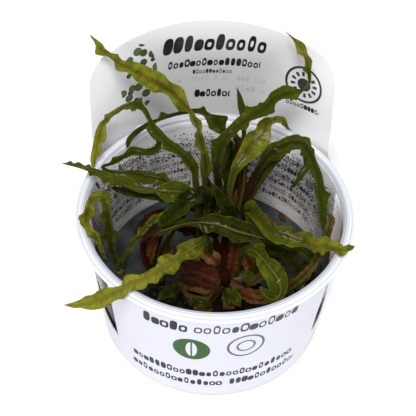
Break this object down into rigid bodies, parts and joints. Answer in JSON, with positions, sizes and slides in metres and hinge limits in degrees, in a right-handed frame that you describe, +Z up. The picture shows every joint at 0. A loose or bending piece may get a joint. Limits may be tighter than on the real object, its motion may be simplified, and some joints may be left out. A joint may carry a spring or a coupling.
{
  "type": "cryptocoryne crispatula plant in a clear cup",
  "caption": "Clear tapered cup with gel, wrapped in a white label with a tall back tab, and holding an aquarium plant with long ruffled leaves that arch over the rim.",
  "frame": {"origin": "centre of the cup's flat underside", "axes": "+Z up along the cup's axis; the label's front panel faces -Y and its tall back tab stands at +Y; +X is to the right seen from the front"},
  "size_m": [0.1061, 0.104, 0.1033],
  "materials": {
    "clear_plastic": "clear glossy moulded plastic",
    "label_plastic": "smooth satin printed plastic sheet",
    "gel": "wet glossy translucent growing gel",
    "condensation": "clear water beads",
    "crown": "moist plant stem, brown-green",
    "leaf_light": "moist satin leaf, yellow-green",
    "leaf_mid": "moist satin leaf, mid green",
    "leaf_dark": "moist satin leaf, dark green",
    "leaf_old": "moist withered leaf, brown"
  },
  "bodies": {
    "root": {"cup": "clear_plastic", "label": "label_plastic", "gel": "gel", "crown_left": "crown", "crown_far_left": "crown", "crown_middle": "crown", "crown_right": "crown", "crown_far_right": "crown", "leaf_tall_left": "leaf_light", "leaf_left_arch": "leaf_dark", "leaf_back_arch": "leaf_dark", "leaf_tall_right": "leaf_mid", "leaf_light_green": "leaf_light", "leaf_right_arch": "leaf_dark", "leaf_right_tip": "leaf_mid", "leaf_left_low": "leaf_mid", "leaf_left_vein": "leaf_mid", "leaf_left_under": "leaf_dark", "leaf_left_curl": "leaf_light", "leaf_left_diagonal": "leaf_mid", "leaf_front_left": "leaf_light", "leaf_across": "leaf_mid", "leaf_right_over": "leaf_light", "leaf_lower_right": "leaf_light", "leaf_low_right": "leaf_dark", "leaf_wall_right": "leaf_old", "leaf_wall_tip": "leaf_old", "leaf_upright": "leaf_dark", "leaf_crinkled": "leaf_dark", "leaf_down_right": "leaf_dark", "leaf_thick_blade": "leaf_mid", "leaf_small_left": "leaf_dark", "leaf_small_middle": "leaf_dark", "leaf_small_right": "leaf_dark", "leaf_old_tan": "leaf_old", "leaf_old_red": "leaf_old", "leaf_old_brown": "leaf_old", "leaf_old_loop": "leaf_old", "leaf_old_orange": "leaf_old", "leaf_old_strip": "leaf_old", "leaf_old_dark": "leaf_old"}
  },
  "joints": []
}
